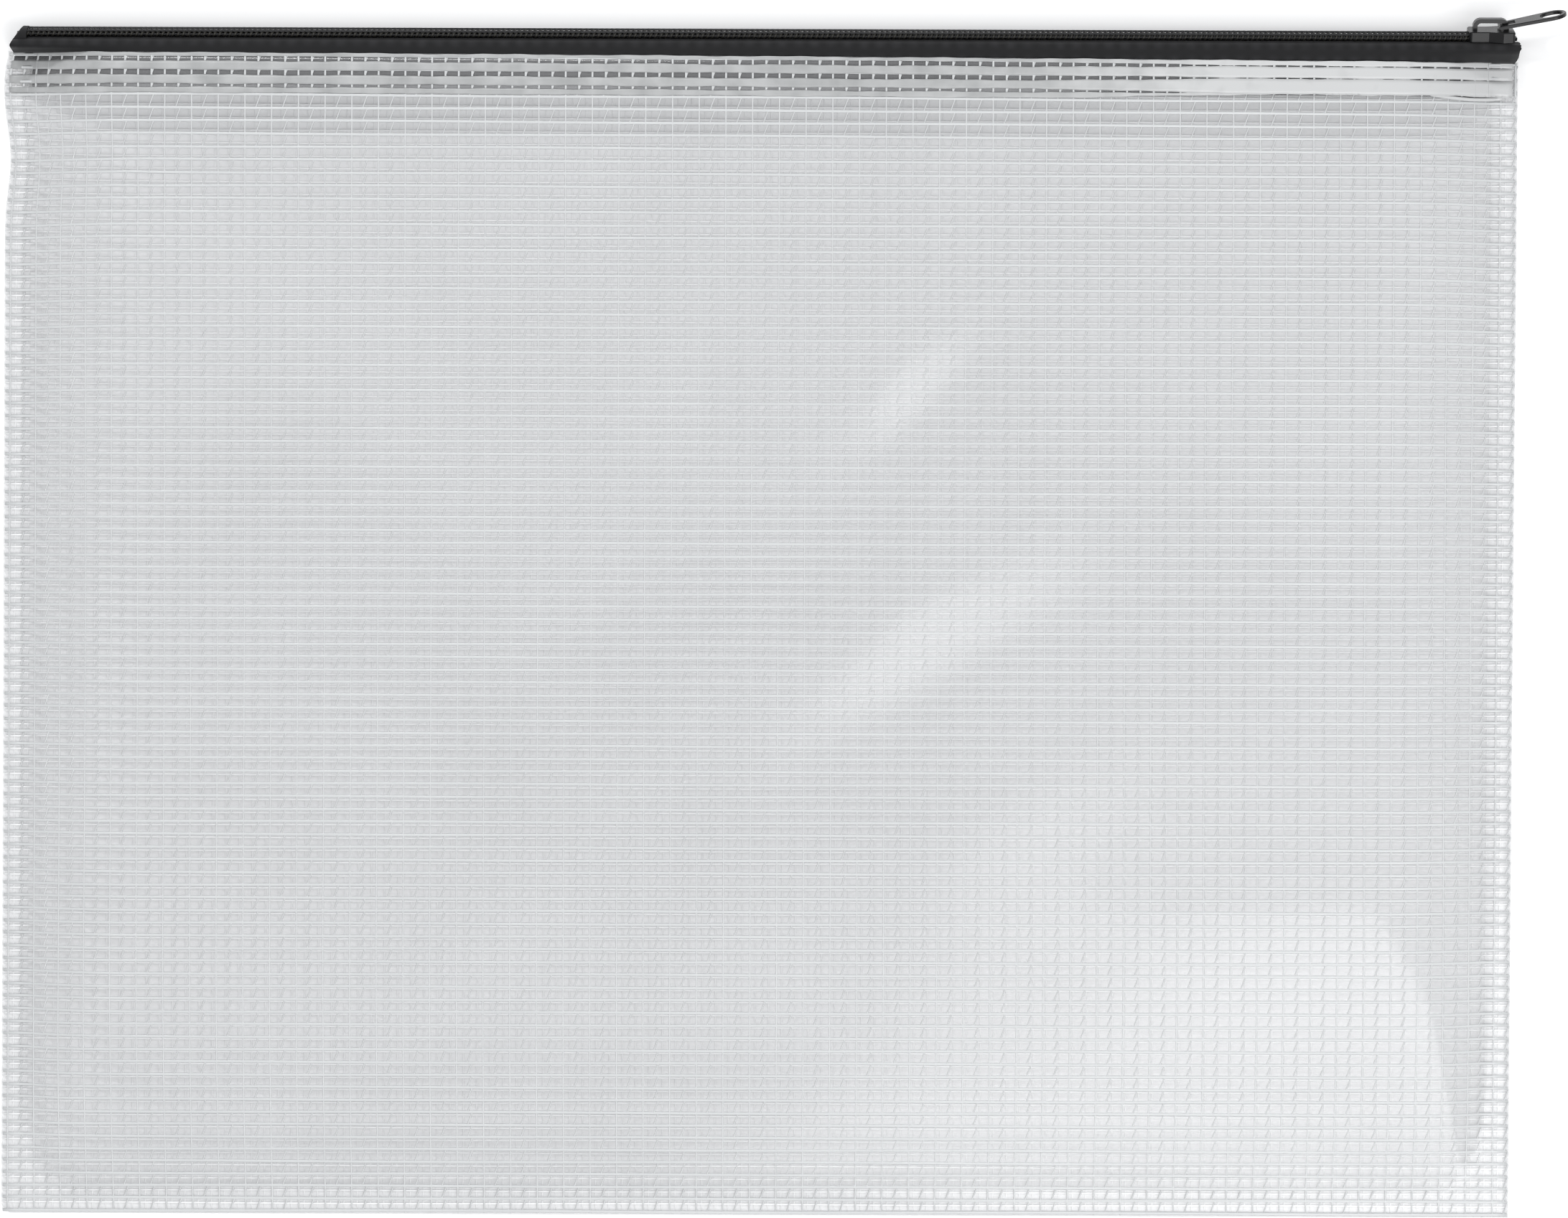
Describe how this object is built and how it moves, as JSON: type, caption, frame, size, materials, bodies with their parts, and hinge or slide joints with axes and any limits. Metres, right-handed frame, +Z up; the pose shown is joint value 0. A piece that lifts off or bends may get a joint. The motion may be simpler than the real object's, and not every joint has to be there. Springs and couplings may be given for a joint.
{
  "type": "zip document wallet",
  "caption": "Flat document wallet of clear mesh-reinforced film, welded round its edges and closed along the top by a black coil zip with a slider and a swinging pull tab.",
  "frame": {"origin": "middle of the back film's outer face, on the surface that the wallet lies on", "axes": "+X along the zip towards its closed end, +Y from the bottom weld towards the zip, +Z up from the surface to the front film"},
  "size_m": [0.3618, 0.2804, 0.0112],
  "materials": {
    "film": "clear glossy film with a white yarn mesh laminated inside",
    "zip_tape": "black woven polyester tape",
    "zip_coil": "black plastic monofilament, slightly glossy",
    "zip_cord": "black twisted cord under the sewing line",
    "slider_metal": "black enamel on die-cast metal",
    "pull_metal": "black enamel on die-cast metal"
  },
  "bodies": {
    "wallet": {"front_panel": "film", "back_panel": "film", "front_zip_tape": "zip_tape", "back_zip_tape": "zip_tape", "front_coil": "zip_coil", "back_coil": "zip_coil", "front_coil_cord": "zip_cord", "back_coil_cord": "zip_cord"},
    "slider": {"slider_body": "slider_metal"},
    "pull": {"pull_tab": "pull_metal"}
  },
  "joints": [
    {"name": "slider_slide", "type": "slide", "parent": "wallet", "child": "slider", "axis": [-1, 0, 0], "range_m": [0, 0.333], "deforming": ["front_coil", "back_coil"]},
    {"name": "pull_swing", "type": "hinge", "parent": "slider", "child": "pull", "pos_m": [0.1718, 0.14243, 0.00728], "axis": [0, -0.342, 0.9397], "range_deg": [-16, 123]}
  ]
}
